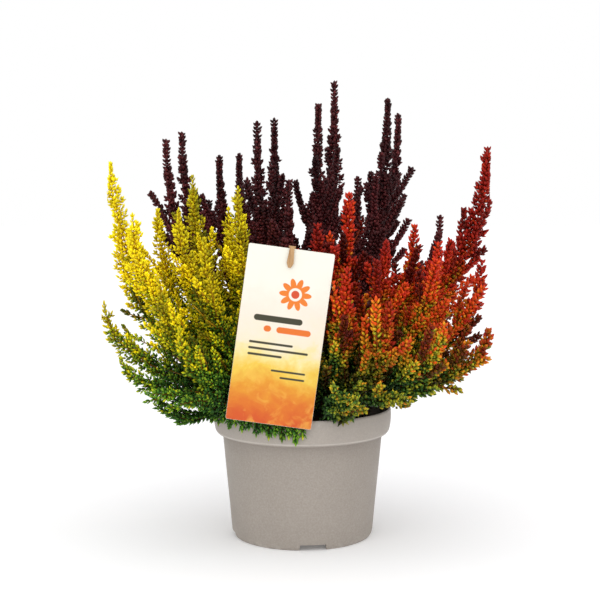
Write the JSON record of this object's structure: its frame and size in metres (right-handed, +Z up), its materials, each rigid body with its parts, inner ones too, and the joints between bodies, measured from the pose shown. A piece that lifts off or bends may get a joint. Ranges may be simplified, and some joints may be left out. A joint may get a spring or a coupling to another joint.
{
  "type": "potted trio of bud heathers",
  "caption": "Round nursery pot of soil holding bud heathers in yellow, dark red and flame red, with upright budded sprays and a plain hang card on a flat stake.",
  "frame": {"origin": "on the pot's axis at the plane it stands on, which is the middle of the whole plant's bottom to within 2 mm", "axes": "+Z up along the pot's axis, -Y to the front where the card hangs, +X to the right seen from the front"},
  "size_m": [0.2548, 0.1979, 0.3105],
  "materials": {
    "pot": "matte taupe moulded plastic, faintly scuffed",
    "soil": "dark crumbly peat compost",
    "label_card": "smooth coated card, cream fading to orange",
    "label_stake": "plain tan strip",
    "yellow_foliage": "matte scale leaves and buds, yellow over green",
    "dark_foliage": "satin buds, dark burgundy over dark green",
    "red_foliage": "matte scale leaves and buds, flame red over green"
  },
  "bodies": {
    "root": {"pot": "pot", "soil": "soil", "label_card": "label_card", "label_stake": "label_stake", "yellow_spray_01": "yellow_foliage", "yellow_spray_02": "yellow_foliage", "yellow_spray_03": "yellow_foliage", "yellow_spray_04": "yellow_foliage", "yellow_spray_05": "yellow_foliage", "yellow_spray_06": "yellow_foliage", "yellow_spray_07": "yellow_foliage", "yellow_spray_08": "yellow_foliage", "yellow_spray_09": "yellow_foliage", "yellow_spray_10": "yellow_foliage", "yellow_spray_11": "yellow_foliage", "yellow_spray_12": "yellow_foliage", "yellow_spray_13": "yellow_foliage", "yellow_spray_14": "yellow_foliage", "yellow_spray_15": "yellow_foliage", "yellow_spray_16": "yellow_foliage", "yellow_spray_17": "yellow_foliage", "dark_spray_01": "dark_foliage", "dark_spray_02": "dark_foliage", "dark_spray_03": "dark_foliage", "dark_spray_04": "dark_foliage", "dark_spray_05": "dark_foliage", "dark_spray_06": "dark_foliage", "dark_spray_07": "dark_foliage", "dark_spray_08": "dark_foliage", "dark_spray_09": "dark_foliage", "dark_spray_10": "dark_foliage", "dark_spray_11": "dark_foliage", "dark_spray_12": "dark_foliage", "dark_spray_13": "dark_foliage", "dark_spray_14": "dark_foliage", "dark_spray_15": "dark_foliage", "dark_spray_16": "dark_foliage", "dark_spray_17": "dark_foliage", "dark_spray_18": "dark_foliage", "dark_spray_19": "dark_foliage", "red_spray_01": "red_foliage", "red_spray_02": "red_foliage", "red_spray_03": "red_foliage", "red_spray_04": "red_foliage", "red_spray_05": "red_foliage", "red_spray_06": "red_foliage", "red_spray_07": "red_foliage", "red_spray_08": "red_foliage", "red_spray_09": "red_foliage", "red_spray_10": "red_foliage", "red_spray_11": "red_foliage", "red_spray_12": "red_foliage", "red_spray_13": "red_foliage", "red_spray_14": "red_foliage", "red_spray_15": "red_foliage", "red_spray_16": "red_foliage"}
  },
  "joints": []
}
